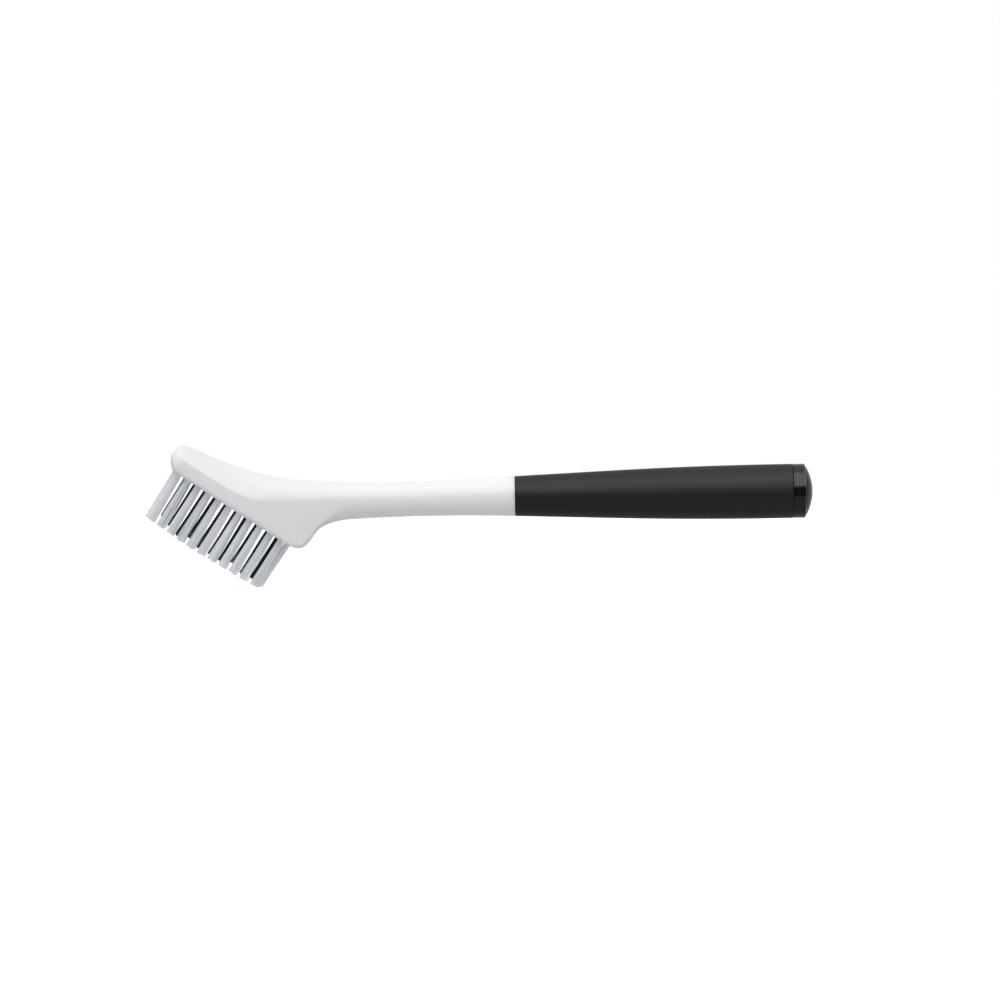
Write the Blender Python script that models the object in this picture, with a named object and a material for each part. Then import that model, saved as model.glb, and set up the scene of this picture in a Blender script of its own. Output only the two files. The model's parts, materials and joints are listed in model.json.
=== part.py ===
"""A dish wand: a long-handled washing-up brush whose hollow handle holds soap.

It lies along X with its bristles down and its cap at +X. Sizes are in metres, +Z is up.
The handle's axis is level. The origin is under the middle of the wand, level with the
lowest bristle tips.
"""
import math

import bmesh
import bpy
from mathutils import Matrix, Vector
from mathutils.geometry import delaunay_2d_cdt, interpolate_bezier

mm = 0.001

# Grip, measured from its joint with the white neck
grip_length = 114.2 * mm
joint_radius = 8.2 * mm
grip_end_radius = 11.1 * mm
grip_wall = 1.8 * mm
fit_gap = 0.3 * mm  # between pieces that touch on the real wand

# Neck, between the grip and the head
neck_length = 66.0 * mm
neck_drop = 0.7 * mm  # how far the neck's middle has sunk below the grip's axis at the head
neck_end_top = 6.75 * mm
neck_end_bottom = 8.25 * mm
neck_end_half_width = 7.4 * mm
waist_half_width = 6.9 * mm
waist_top = (7.3 * mm, 6.1 * mm)  # pull on its top edge, a third and two thirds of the way along
waist_bottom = (7.4 * mm, 7.2 * mm)

# Bristle face, a flat plane that slopes down towards the grip
face_slope = math.radians(34.0)
heel_reach = 92.35 * mm  # from the joint back to where the flat face ends
heel_drop = 18.9 * mm  # that point's depth below the grip's axis
face_length = 55.0 * mm  # from there to under the highest point of the toe
toe_flat = 1.9 * mm  # flat face beyond that

# Back of the neck, where it hollows a little and rises into the head
back_hollow = 13.5 * mm  # from the neck's end to the lowest place
back_hollow_rise = 0.75 * mm
back_pull = 4.5 * mm  # how far each curve runs on at its end's slope
back_entry_rise = 0.13 * mm
back_hollow_slope = 0.35 * mm  # rise over that pull
back_heel_slope = 0.55 * mm
back_heel_rise = 2.0 * mm  # of the back above the heel, over the neck's end
back_heel_inset = 0.6 * mm

# Hollow under the neck, and the heel behind the bristle face
hollow_reach = 9.4 * mm  # from the face's end to the end of the hollow
hollow_rise = 4.66 * mm
hollow_slope = math.radians(54.7)
hollow_pull = 6.5 * mm
hollow_depth = 0.3 * mm
hollow_lag = 2.0 * mm
heel_pull = 6.8 * mm
heel_face_pull = 3.7 * mm

# Tuft rows, measured along the face from under the highest point of the toe
outer_tufts = 11
outer_start = 0.2 * mm
outer_pitch = 5.02 * mm
middle_tufts = 12  # a pale tuft at each end of the row and dark ones between
middle_start = -1.1 * mm
middle_pitch = 4.975 * mm
row_spacing = 4.2 * mm
tuft_lean = math.radians(1.9)  # towards the heel
toe_tuft_lean = math.radians(3.1)
heel_tuft_lean = math.radians(-4.2)

# Head, above that face
head_half_width = 10.0 * mm
heel_half_width = 8.8 * mm
widening = (0.3 * mm, 0.6 * mm, 0.6 * mm)  # pulls after the neck's end, before the heel and after it
flank_height = 5.9 * mm
toe_height = 12.05 * mm
toe_overhang = 6.0 * mm  # past the toe's highest point
crown_crease = 0.8  # 0 rounds the head's back into its flanks, 1 meets them at a plain edge
crown_heel_pull = (12.0 * mm, 1.4 * mm)  # back and up from above the heel
crown_toe_pull = (12.0 * mm, 5.7 * mm)  # forward and down from the toe's highest point
crease_heel_pull = 15.0 * mm
crease_toe_pull = 31.0 * mm
toe_top_pull = ((2.4 * mm, 0.4 * mm), (6.2 * mm, 0.65 * mm))  # past that point, and below it
toe_bottom_pull = (1.1 * mm, 0.2 * mm)
toe_bottom_share = 0.45  # height of the lower curve's second pull, in nose heights
toe_blunt = 0.2 * mm  # half the height of the flat left at the nose
toe_nose_height = 6.7 * mm
toe_nose_half_width = 5.0 * mm
face_edge_radius = 2.0 * mm
face_edge_share = 0.45  # the most of the section's depth or half width that this rounding takes

# Bristle tufts
bristle_length = 22.75 * mm  # of the pale tufts, where they are trimmed longest
trim_middle = 22.0 * mm  # that place, along the face
trim_radius = 360.0 * mm
dark_shortfall = 2.4 * mm  # the dark tufts are trimmed this much lower
resting_flat = 0.5 * mm  # cut level off the lowest tips
pale_root_radius = 1.3 * mm
dark_root_radius = 1.05 * mm
tip_spread = 1.5  # the tips stand this many times wider than the roots
hole_depth = 6.0 * mm
hole_clearance = 0.3 * mm
root_recess = 0.4 * mm  # the strands part this far inside the hole's mouth
pale_strand_radius = 0.22 * mm
dark_strand_radius = 0.18 * mm
anchor_height = 2.2 * mm
anchor_thickness = 0.5 * mm
anchor_overhang = 0.12 * mm  # past the folded strands on both sides
anchor_lift = 0.6 * mm  # above the folded strands' end

# Soap space inside the handle
core_wall = 1.7 * mm
mouth_radius = 6.9 * mm
mouth_length = 13.0 * mm
bore_start = 4.0 * mm
bore_cone = 2.0 * mm  # length of the step down from the bore to the channel
channel_radius = 2.0 * mm
channel_drop = 0.3 * mm
outlet_radius = 0.6 * mm
thread_step = 0.35 * mm  # the bore is this much narrower than its threaded mouth

# Screw cap
rim_setback = 1.2 * mm  # the core's rim stands this far inside the grip's end
shut_line = 0.4 * mm  # gap between the grip and the cap
band_width = 3.3 * mm
shoulder_radius = 1.2 * mm
shoulder_end = math.radians(10)  # what is left of the shoulder's quarter turn at the dome
dome_sphere_radius = 18.6 * mm
dome_stand = 0.3 * mm  # the dome's edge stands this far past the shoulder
dome_thickness = 1.5 * mm
plug_clearance = 0.3 * mm
plug_length = 12.0 * mm
plug_wall = 1.5 * mm
cap_web = 2.0 * mm
seal_cord_radius = 0.6 * mm
seal_groove_depth = 0.3 * mm

# Facets
ring_points = 40  # a multiple of 4
quarter_points = ring_points // 4
rail_steps = (8, 8, 9, 14, 10)  # neck, hollow under it, heel, face, toe
crease_steps = 8  # steps of the face over which the crease grows from the heel
seal_cord_sides = 8
pale_hole_sides = 12
dark_hole_sides = 8
pale_strand_counts = (1, 5, 8)  # in rings from the middle outwards
pale_strand_shares = (0.0, 0.4, 0.78)  # of the root's radius
dark_strand_counts = (1, 7)
dark_strand_shares = (0.0, 0.68)

# The bristle face's own directions, seen from the side: x and z
along_face = Vector((math.cos(face_slope), -math.sin(face_slope)))  # toe to heel
off_face = Vector((math.sin(face_slope), math.cos(face_slope)))  # away from the bristles
heel_edge = Vector((-heel_reach, -heel_drop))
toe_foot = heel_edge - along_face * face_length


def on_face(u, height=0.0):
    """Side-view point u along the bristle face from the toe, and height above it."""
    return toe_foot + along_face * u + off_face * height


def grip_radius(x):
    """Outer radius of the grip: it swells from the joint and runs level into the cap."""
    share = min(max(x / grip_length, 0.0), 1.0)
    return joint_radius + (grip_end_radius - joint_radius) * math.sin(share * math.pi / 2)


def core_radius(x):
    """Outer radius of the white core under the grip."""
    return grip_radius(x) - grip_wall - fit_gap


def frame_offset(tufts):
    """Where the grip joint's middle lies when the origin is under the middle of the wand."""
    tips = [on_face(tip.x, -tip.z) for tuft in tufts for _, corners in tuft.strands for tip in corners]
    middle = (min(tip.x for tip in tips) + dome_surface(0.0)) / 2
    return Vector((-middle, 0, -min(tip.y for tip in tips)))


def shoulder_edge():
    """The cap's shoulder where the dome starts: distance past the joint, and radius."""
    return arc(
        (cap_start() + band_width, grip_end_radius - shoulder_radius),
        shoulder_radius, shoulder_end, shoulder_end, 1,
    )[0]


def dome_edge_radius():
    return shoulder_edge()[1] - fit_gap


def dome_surface(radius):
    """Distance past the joint of the domed end's surface, at a radius from the axis."""
    edge = shoulder_edge()[0] + dome_stand
    return edge + sphere_drop(dome_edge_radius()) - sphere_drop(radius)


def sphere_drop(radius):
    return dome_sphere_radius - math.sqrt(dome_sphere_radius**2 - radius**2)


def cap_start():
    return grip_length + shut_line


def core_rim():
    return grip_length - rim_setback


def material(name, colour, roughness, metallic=0.0):
    made = bpy.data.materials.new(name)
    made.use_nodes = True
    shader = made.node_tree.nodes["Principled BSDF"]
    shader.inputs["Base Color"].default_value = (*colour, 1.0)
    shader.inputs["Roughness"].default_value = roughness
    shader.inputs["Metallic"].default_value = metallic
    return made


def add_object(name, mesh, finish, parent):
    made = bpy.data.objects.new(name, mesh)
    if finish:
        mesh.materials.clear()
        mesh.materials.append(finish)
    bpy.context.scene.collection.objects.link(made)
    made.parent = parent
    return made


def add_empty(name, location=(0, 0, 0), parent=None):
    made = bpy.data.objects.new(name, None)
    made.location = location
    made.parent = parent
    bpy.context.scene.collection.objects.link(made)
    return made


def finished_mesh(name, bm):
    bmesh.ops.recalc_face_normals(bm, faces=bm.faces)
    mesh = bpy.data.meshes.new(name)
    bm.to_mesh(mesh)
    bm.free()
    mesh.shade_smooth()
    mesh.set_sharp_from_angle(angle=math.radians(35))
    return mesh


def skin(name, rings, closed=False):
    """A mesh over successive rings of points; an open run of rings gets a flat face at each end."""
    bm = bmesh.new()
    loops = [[bm.verts.new(point) for point in ring] for ring in rings]
    following = loops[1:] + (loops[:1] if closed else [])
    for near, far in zip(loops, following):
        for i in range(len(near)):
            j = (i + 1) % len(near)
            bm.faces.new((near[i], near[j], far[j], far[i]))
    if not closed:
        bm.faces.new(loops[0])
        bm.faces.new(loops[-1])
    return finished_mesh(name, bm)


def turned_ring(x, radius, drop=0.0, points=ring_points):
    """A circle around the handle's axis, starting at its +Y side and rising first."""
    turns = [2 * math.pi * i / points for i in range(points)]
    return [Vector((x, radius * math.cos(a), radius * math.sin(a) - drop)) for a in turns]


def turned(name, profile, closed=False, points=ring_points):
    """A piece turned around the handle's axis from points (x, radius)."""
    return skin(name, [turned_ring(x, r, points=points) for x, r in profile], closed)


def arc(centre, radius, start, end, steps):
    """Profile points (x, radius) along an arc, with angles from the +X direction."""
    turns = [start + (end - start) * i / steps for i in range(steps + 1)]
    return [(centre[0] + radius * math.cos(a), centre[1] + radius * math.sin(a)) for a in turns]


def rail(*curves):
    """Side-view points along Bezier curves (knot, handle, handle, knot), at the loft's steps."""
    points = [Vector(curves[0][0])]
    for curve, steps in zip(curves, rail_steps):
        points += interpolate_bezier(*[Vector(p) for p in curve], steps + 1)[1:]
    return points


def straight(start, end):
    """The same kind of curve, for a straight stretch."""
    start, end = Vector(start), Vector(end)
    return start, start.lerp(end, 1 / 3), start.lerp(end, 2 / 3), end


def head_rails():
    """Top edge, widest line and bottom edge of the neck and head, from the joint to the toe."""
    neck_end = -neck_length
    slope = Vector((math.cos(hollow_slope), math.sin(hollow_slope)))
    hollow_end = heel_edge + Vector((hollow_reach, hollow_rise))
    hollow_mid = (neck_end + hollow_end.x) / 2 + hollow_lag
    spine_z = -neck_drop
    crown_hollow = Vector((neck_end - back_hollow, neck_end_top + back_hollow_rise))
    crown_heel = Vector((heel_edge.x - back_heel_inset, neck_end_top + back_heel_rise))
    crown_toe = on_face(0, toe_height)
    toe_top = on_face(-toe_overhang, toe_nose_height + toe_blunt)
    toe_bottom = on_face(-toe_overhang, toe_nose_height - toe_blunt)
    spine_toe = on_face(0, flank_height)
    hollow_run = Vector((back_pull, -back_hollow_slope))

    top = rail(
        ((0, joint_radius), (neck_end / 3, waist_top[0]), (neck_end * 2 / 3, waist_top[1]),
         (neck_end, neck_end_top)),
        ((neck_end, neck_end_top), (neck_end - back_pull, neck_end_top + back_entry_rise),
         crown_hollow + hollow_run, crown_hollow),
        (crown_hollow, crown_hollow - hollow_run,
         crown_heel + Vector((back_pull, -back_heel_slope)), crown_heel),
        (crown_heel, crown_heel + Vector((-crown_heel_pull[0], crown_heel_pull[1])),
         crown_toe + Vector((crown_toe_pull[0], -crown_toe_pull[1])), crown_toe),
        (crown_toe, *[on_face(-past, toe_height - below) for past, below in toe_top_pull], toe_top),
    )
    widest = rail(
        straight((0, 0), (neck_end, spine_z)),
        straight((neck_end, spine_z), (crown_hollow.x, spine_z)),
        straight((crown_hollow.x, spine_z), (crown_heel.x, spine_z)),
        ((crown_heel.x, spine_z), (crown_heel.x - crease_heel_pull, spine_z),
         spine_toe + along_face * crease_toe_pull, spine_toe),
        straight(spine_toe, toe_top.lerp(toe_bottom, 0.5)),
    )
    bottom = rail(
        ((0, -joint_radius), (neck_end / 3, -waist_bottom[0]), (neck_end * 2 / 3, -waist_bottom[1]),
         (neck_end, -neck_end_bottom)),
        ((neck_end, -neck_end_bottom), (hollow_mid, -neck_end_bottom - hollow_depth),
         hollow_end + slope * hollow_pull, hollow_end),
        (hollow_end, hollow_end - slope * heel_pull, heel_edge + along_face * heel_face_pull, heel_edge),
        straight(heel_edge, on_face(-toe_flat)),
        (on_face(-toe_flat), on_face(-toe_flat - toe_bottom_pull[0], toe_bottom_pull[1]),
         on_face(-toe_overhang, toe_nose_height * toe_bottom_share), toe_bottom),
    )
    return top, widest, bottom


def eased(steps):
    """Shares that rise from above 0 to 1, slowly at both ends."""
    return [0.5 * (1 - math.cos(math.pi * i / steps)) for i in range(1, steps + 1)]


def head_widths():
    """Of each section: half width, boxiness (0 is round, 1 has flat flanks and face), crease."""
    widths, boxiness = [joint_radius], [0.0]
    knots = [
        (joint_radius, waist_half_width, waist_half_width, neck_end_half_width),
        (neck_end_half_width, neck_end_half_width + widening[0],
         heel_half_width - widening[1], heel_half_width),
        (heel_half_width, heel_half_width + widening[2], head_half_width, head_half_width),
        (head_half_width,) * 4,
    ]
    for (start, handle, far_handle, end), steps in zip(knots, rail_steps):
        for i in range(1, steps + 1):
            t = i / steps
            s = 1 - t
            widths.append(s**3 * start + 3 * s * s * t * handle + 3 * s * t * t * far_handle + t**3 * end)
    for i in range(1, rail_steps[4] + 1):
        t = i / rail_steps[4]
        narrowing = head_half_width - toe_nose_half_width
        widths.append(toe_nose_half_width + narrowing * math.sqrt(1 - t * t))
    boxiness += [0.0] * rail_steps[0]
    boxiness += eased(rail_steps[1])
    boxiness += [1.0] * sum(rail_steps[2:])
    creases = [0.0] * (1 + sum(rail_steps[:3])) + eased(crease_steps)
    creases += [1.0] * (rail_steps[3] - crease_steps + rail_steps[4])
    return widths, boxiness, [crown_crease * share for share in creases]


def lower_quarter(half_width, depth, boxiness):
    """Points (sideways, down) from the widest line to the middle of the bottom."""
    corner = min(face_edge_radius, depth * face_edge_share, half_width * face_edge_share)
    boxed = [(half_width, 0.0), (half_width, (depth - corner) / 2)]
    boxed += [
        (half_width - corner * (1 - math.cos(a)), depth - corner * (1 - math.sin(a)))
        for a in [math.pi / 2 * i / (quarter_points - 5) for i in range(quarter_points - 4)]
    ]
    flat = half_width - corner
    boxed += [(flat * share, depth) for share in (2 / 3, 1 / 3, 0.0)]
    points = []
    for i, (side, down) in enumerate(boxed):
        a = math.pi / 2 * i / quarter_points
        points.append((
            half_width * math.cos(a) * (1 - boxiness) + side * boxiness,
            depth * math.sin(a) * (1 - boxiness) + down * boxiness,
        ))
    return points


def head_section(top, widest, bottom, half_width, boxiness, crease):
    """One ring around the neck or head, from its +Y side over the top."""
    ring = []
    for i in range(2 * quarter_points):
        a = math.pi / 2 * i / quarter_points
        edge = widest.lerp(top, math.sin(a) ** (1 + crease))
        ring.append(Vector((edge.x, half_width * math.cos(a), edge.y)))
    depth = (bottom - widest).length
    quarter = lower_quarter(half_width, depth, boxiness)
    for side, down in quarter:
        edge = widest.lerp(bottom, down / depth)
        ring.append(Vector((edge.x, -side, edge.y)))
    for side, down in reversed(quarter[1:-1]):
        edge = widest.lerp(bottom, down / depth)
        ring.append(Vector((edge.x, side, edge.y)))
    return ring


def outlet_place():
    """Where the soap outlet leaves the bristle face: between the last two dark tufts."""
    return middle_start + (middle_tufts - 2.5) * middle_pitch


def handle_body_mesh():
    """Head, neck and hollow core in one run of rings: over the outside, then back up the bore."""
    sections = [head_section(*station) for station in zip(*head_rails(), *head_widths())]
    rings = sections[::-1]

    core_steps = 7
    rings.append(turned_ring(0, core_radius(0)))
    for i in range(1, core_steps + 1):
        x = core_rim() * i / core_steps
        rings.append(turned_ring(x, core_radius(x)))

    counterbore = mouth_radius + seal_groove_depth + 2 * seal_cord_radius
    seal_floor = grip_length + shut_line - 2 * seal_cord_radius - 2 * fit_gap
    rings.append(turned_ring(core_rim(), counterbore))
    rings.append(turned_ring(seal_floor, counterbore))
    rings.append(turned_ring(seal_floor, mouth_radius))
    mouth_end = seal_floor - mouth_length
    rings.append(turned_ring(mouth_end, mouth_radius))
    bore_steps = 3
    for i in range(bore_steps + 1):
        x = mouth_end - (mouth_end - bore_start) * i / bore_steps
        rings.append(turned_ring(x, min(mouth_radius - thread_step, core_radius(x) - core_wall)))
    rings.append(turned_ring(bore_start - bore_cone, channel_radius, channel_drop))
    outlet_top = on_face(outlet_place(), 0)
    channel_end = outlet_top.x + off_face.x / off_face.y * (-channel_drop - outlet_top.y)
    rings.append(turned_ring(channel_end - channel_radius, channel_radius, channel_drop))
    return skin("handle_body", rings)


class Tuft:
    """One tuft's place, size and strands, in the bristle face's frame: x to the heel, z outwards."""

    def __init__(self, name, u, v, lean, dark, turn):
        self.name, self.u, self.v, self.lean, self.dark = name, u, v, lean, dark
        self.sides = dark_hole_sides if dark else pale_hole_sides
        self.root_radius = dark_root_radius if dark else pale_root_radius
        self.strands = [self.strand(middle, turn + k) for k, middle in enumerate(self.middles(turn))]

    def middles(self, turn):
        """Middles of the strands at the root, in rings that fill the tuft."""
        counts = dark_strand_counts if self.dark else pale_strand_counts
        for count, share in zip(counts, dark_strand_shares if self.dark else pale_strand_shares):
            for i in range(count):
                a = turn + 2 * math.pi * (i + share) / count
                yield Vector((math.cos(a), math.sin(a))) * share * self.root_radius

    def strand(self, middle, turn):
        """Three corners where the strand leaves its tuft's root, and three at its trimmed tip."""
        radius = dark_strand_radius if self.dark else pale_strand_radius
        corners = [turn + 2 * math.pi * i / 3 for i in range(3)]
        around = [Vector((math.cos(a), math.sin(a))) * radius for a in corners]
        tip = self.leaning(middle * tip_spread, bristle_length)
        length = bristle_length - (tip.x - trim_middle) ** 2 / (2 * trim_radius)
        length -= dark_shortfall if self.dark else 0.0
        root = [self.leaning(middle + c, -root_recess) for c in around]
        return root, [self.leaning(middle * tip_spread + c, length) for c in around]

    def leaning(self, offset, height):
        """Point of the tuft at an offset from its leaning axis, at a height out of the face."""
        return Vector((self.u + height * math.tan(self.lean) + offset.x, self.v + offset.y, height))

    def rim(self, height):
        turns = [2 * math.pi * i / self.sides for i in range(self.sides)]
        around = [Vector((math.cos(a), math.sin(a))) * self.root_radius for a in turns]
        return [self.leaning(offset, height) for offset in around]


def all_tufts():
    golden_turn = math.pi * (3 - math.sqrt(5))
    tufts = []
    for side, v in (("front", row_spacing), ("back", -row_spacing)):
        for i in range(outer_tufts):
            name, turn = f"tuft_{side}_{i + 1:02d}", len(tufts) * golden_turn
            tufts.append(Tuft(name, outer_start + i * outer_pitch, v, tuft_lean, False, turn))
    for i in range(middle_tufts):
        name, lean, dark = f"tuft_inner_{i:02d}", tuft_lean, True
        if i == 0:
            name, lean, dark = "tuft_toe", toe_tuft_lean, False
        elif i == middle_tufts - 1:
            name, lean, dark = "tuft_heel", heel_tuft_lean, False
        turn = len(tufts) * golden_turn
        tufts.append(Tuft(name, middle_start + i * middle_pitch, 0.0, lean, dark, turn))
    cut_level(tufts)
    return tufts


def cut_level(tufts):
    """Cuts the lowest strands level, so that the wand can stand on them."""
    ends = [(root, corners) for tuft in tufts for root, corners in tuft.strands]
    floor = min(on_face(tip.x, -tip.z).y for _, corners in ends for tip in corners) + resting_flat
    for root, corners in ends:
        for i, (start, tip) in enumerate(zip(root, corners)):
            high, low = on_face(start.x, -start.z).y, on_face(tip.x, -tip.z).y
            if low < floor:
                corners[i] = start.lerp(tip, (high - floor) / (high - low))


def hole_cutter(face, tufts):
    """Every blind tuft hole and the soap outlet, as one cutter in the bristle face's own frame."""
    bm = bmesh.new()
    mouth_overshoot = 1.0 * mm
    length = hole_depth + mouth_overshoot
    for tuft in tufts:
        radius = tuft.root_radius + hole_clearance
        lean = Matrix.Shear("XY", 4, (math.tan(tuft.lean), 0))
        middle = Matrix.Translation((0, 0, mouth_overshoot - length / 2))
        bmesh.ops.create_cone(
            bm, cap_ends=True, segments=tuft.sides, radius1=radius, radius2=radius, depth=length,
            matrix=Matrix.Translation((tuft.u, tuft.v, 0)) @ lean @ middle,
        )
    outlet_u = outlet_place()
    reach = (-channel_drop - on_face(outlet_u).y) / off_face.y
    bmesh.ops.create_cone(
        bm, cap_ends=True, segments=dark_hole_sides, radius1=outlet_radius, radius2=outlet_radius,
        depth=reach + mouth_overshoot,
        matrix=Matrix.Translation((outlet_u, 0, (mouth_overshoot - reach) / 2)),
    )
    cutter = add_object("hole_cutter", finished_mesh("hole_cutter", bm), None, face)
    cutter.hide_render = True
    cutter.display_type = "WIRE"
    return cutter


def tuft_mesh(tuft):
    """Folded root as a plug, and strands that part from it and spread outwards, as one body."""
    rim = tuft.rim(-root_recess)
    corners = [corner for root, _ in tuft.strands for corner in root]
    sides = tuft.sides
    outline = [list(range(sides))]
    outline += [[sides + 3 * k + i for i in range(3)] for k in range(len(tuft.strands))]
    found = delaunay_2d_cdt([point.xy for point in rim + corners], [], outline, 1, 1e-9)
    flat_points, flat_faces, sources = found[0], found[2], found[5]

    bm = bmesh.new()
    top = [bm.verts.new((*point, -root_recess)) for point in flat_points]
    for face, source in zip(flat_faces, sources):
        if source == [0]:
            bm.faces.new([top[i] for i in face])
    for k, (_, tip_corners) in enumerate(tuft.strands):
        base = top[sides + 3 * k:sides + 3 * k + 3]
        tips = [bm.verts.new(corner) for corner in tip_corners]
        for i in range(3):
            j = (i + 1) % 3
            bm.faces.new((base[i], base[j], tips[j], tips[i]))
        bm.faces.new(tips)
    low = [bm.verts.new(point) for point in tuft.rim(-hole_depth + fit_gap)]
    for i in range(sides):
        j = (i + 1) % sides
        bm.faces.new((low[i], low[j], top[j], top[i]))
    bm.faces.new(low)
    return finished_mesh(tuft.name, bm)


def anchor_mesh(tuft):
    """Flat piece of wire that holds the folded strands at the bottom of their hole."""
    bm = bmesh.new()
    height = -hole_depth + fit_gap + anchor_lift + anchor_height / 2
    place = Matrix.Translation(tuft.leaning(Vector((0, 0)), height))
    width = 2 * (tuft.root_radius + anchor_overhang)
    size = Matrix.Diagonal((width, anchor_thickness, anchor_height, 1))
    bmesh.ops.create_cube(bm, size=1, matrix=place @ size)
    return finished_mesh(tuft.name + "_anchor", bm)


def add_tufts(face, tufts, pale_finish, dark_finish):
    for tuft in tufts:
        finish = dark_finish if tuft.dark else pale_finish
        made = add_object(tuft.name, tuft_mesh(tuft), finish, face)
        anchor = add_object(tuft.name + "_anchor", anchor_mesh(tuft), None, face)
        anchor.hide_render = True
        anchor.display_type = "WIRE"
        joined = made.modifiers.new("anchor", "BOOLEAN")
        joined.operation = "UNION"
        joined.object = anchor


def grip_sleeve_mesh():
    """Soft sleeve over the core, between the neck's shoulder and the cap."""
    edge = 0.4 * mm
    start, end = fit_gap, grip_length
    steps = 9
    outer = [(start, grip_radius(start) - edge), (start + edge, grip_radius(start + edge))]
    for i in range(1, steps):
        x = start + edge + (end - start - 2 * edge) * i / steps
        outer.append((x, grip_radius(x)))
    outer += [(end - edge, grip_radius(end - edge)), (end, grip_radius(end) - edge)]
    inner_steps = 5
    inner = []
    for i in range(inner_steps + 1):
        x = end - (end - start) * i / inner_steps
        inner.append((x, core_radius(x) + fit_gap))
    return turned("grip_sleeve", outer + inner, closed=True)


def fill_cap_mesh():
    """Cap: glossy band and shoulder, a pocket for the dome, and a hollow threaded plug."""
    start = cap_start()
    edge = 0.3 * mm
    pocket_floor = dome_surface(dome_edge_radius()) - dome_thickness - fit_gap
    shoulder_middle = (start + band_width, grip_end_radius - shoulder_radius)
    profile = [(pocket_floor, shoulder_edge()[1])]
    profile += arc(shoulder_middle, shoulder_radius, shoulder_end, math.pi / 2, 4)
    profile += [(start + edge, grip_end_radius), (start, grip_end_radius - edge)]
    groove = mouth_radius - plug_clearance - seal_groove_depth
    plug = mouth_radius - plug_clearance
    groove_end = start - 2 * seal_cord_radius - fit_gap
    plug_end = groove_end - plug_length
    profile += [(start, groove), (groove_end, groove), (groove_end, plug)]
    profile += [(plug_end + 2 * edge, plug), (plug_end, plug - 2 * edge), (plug_end, plug - plug_wall)]
    profile += [(pocket_floor - cap_web, plug - plug_wall)]
    return turned("fill_cap", profile)


def cap_dome_mesh():
    """Domed disc let into the cap's end."""
    edge = dome_edge_radius()
    rings = 6
    profile = [(dome_surface(edge) - dome_thickness, edge)]
    for i in range(rings):
        radius = edge * (1 - i / rings)
        profile.append((dome_surface(radius), radius))
    return turned("cap_dome", profile)


def cap_seal_mesh():
    """Rubber ring in the cap's groove; it seals against the counterbore in the core's mouth."""
    middle = (
        cap_start() - fit_gap / 2 - seal_cord_radius,
        mouth_radius - plug_clearance - seal_groove_depth + fit_gap + seal_cord_radius,
    )
    cord = arc(middle, seal_cord_radius, 0, 2 * math.pi, seal_cord_sides)
    return turned("cap_seal", cord[:-1], closed=True)


def build():
    for old in list(bpy.data.objects):
        bpy.data.objects.remove(old)

    white = material("white_polypropylene", (0.84, 0.85, 0.86), 0.35)
    black_rubber = material("black_soft_grip", (0.022, 0.02, 0.021), 0.6)
    black_gloss = material("black_gloss_cap", (0.012, 0.011, 0.011), 0.18)
    black_satin = material("black_satin_dome", (0.03, 0.03, 0.028), 0.4)
    seal_rubber = material("seal_rubber", (0.05, 0.05, 0.05), 0.7)
    pale_bristle = material("pale_bristle", (0.74, 0.76, 0.79), 0.4)
    dark_bristle = material("dark_bristle", (0.015, 0.015, 0.016), 0.4)

    tufts = all_tufts()
    wand = add_empty("wand_frame", frame_offset(tufts))
    face = add_empty("bristle_face", (toe_foot.x, 0, toe_foot.y), wand)
    face.rotation_euler = Matrix((
        (along_face.x, 0, -off_face.x),
        (0, -1, 0),
        (along_face.y, 0, -off_face.y),
    )).to_euler()
    cap_axis = add_empty("cap_axis", (0, 0, 0), wand)

    body = add_object("handle_body", handle_body_mesh(), white, wand)
    holes = body.modifiers.new("tuft_holes", "BOOLEAN")
    holes.operation = "DIFFERENCE"
    holes.object = hole_cutter(face, tufts)
    shading = body.modifiers.new("even_shading", "WEIGHTED_NORMAL")
    shading.keep_sharp = True
    add_object("grip_sleeve", grip_sleeve_mesh(), black_rubber, wand)
    add_tufts(face, tufts, pale_bristle, dark_bristle)
    add_object("fill_cap", fill_cap_mesh(), black_gloss, cap_axis)
    add_object("cap_dome", cap_dome_mesh(), black_satin, cap_axis)
    add_object("cap_seal", cap_seal_mesh(), seal_rubber, wand)


build()
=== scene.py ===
import json
import math
import random

import bmesh
import bpy
from mathutils import Matrix, Vector

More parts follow.
